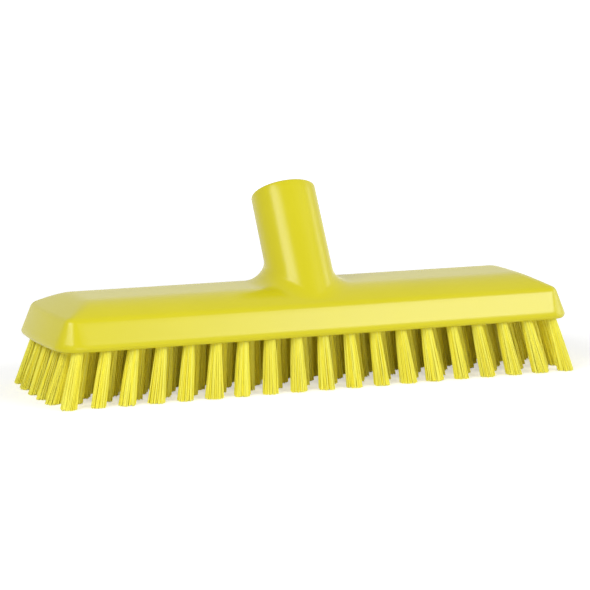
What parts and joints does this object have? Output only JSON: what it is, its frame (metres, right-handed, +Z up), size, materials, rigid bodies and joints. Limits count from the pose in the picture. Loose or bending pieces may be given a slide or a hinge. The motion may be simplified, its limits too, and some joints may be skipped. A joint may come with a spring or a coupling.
{
  "type": "floor scrub brush head",
  "caption": "Rectangular moulded scrub brush head with a leaning threaded handle socket on top and outward-splayed stiff bristle tufts below.",
  "frame": {"origin": "on the floor, under the middle of the brush head, with the brush standing on its bristle tips", "axes": "+X along the length of the block, +Y towards the back, where the handle socket leans, +Z up"},
  "size_m": [0.273, 0.078, 0.0971],
  "materials": {
    "moulded_yellow": "smooth injection-moulded polypropylene, yellow, slightly glossy",
    "bristle_yellow": "stiff polyester filament, yellow, satin"
  },
  "bodies": {
    "root": {"brush_block": "moulded_yellow", "tuft_strip_01": "bristle_yellow", "tuft_strip_02": "bristle_yellow", "tuft_strip_03": "bristle_yellow", "tuft_strip_04": "bristle_yellow", "tuft_strip_05": "bristle_yellow", "tuft_strip_06": "bristle_yellow", "tuft_strip_07": "bristle_yellow", "tuft_strip_08": "bristle_yellow", "tuft_strip_09": "bristle_yellow", "tuft_strip_10": "bristle_yellow", "tuft_strip_11": "bristle_yellow", "tuft_strip_12": "bristle_yellow", "tuft_strip_13": "bristle_yellow", "tuft_strip_14": "bristle_yellow", "tuft_strip_15": "bristle_yellow", "tuft_strip_16": "bristle_yellow", "tuft_strip_17": "bristle_yellow", "tuft_strip_18": "bristle_yellow", "tuft_strip_19": "bristle_yellow", "tuft_strip_20": "bristle_yellow", "tuft_strip_21": "bristle_yellow", "tuft_strip_22": "bristle_yellow", "tuft_strip_23": "bristle_yellow", "tuft_strip_24": "bristle_yellow", "tuft_strip_25": "bristle_yellow", "tuft_strip_26": "bristle_yellow", "tuft_strip_27": "bristle_yellow", "tuft_strip_28": "bristle_yellow", "tuft_strip_29": "bristle_yellow", "tuft_strip_30": "bristle_yellow", "tuft_strip_31": "bristle_yellow", "tuft_strip_32": "bristle_yellow", "tuft_strip_33": "bristle_yellow", "tuft_strip_34": "bristle_yellow", "tuft_strip_35": "bristle_yellow", "tuft_strip_36": "bristle_yellow", "tuft_strip_37": "bristle_yellow"}
  },
  "joints": []
}
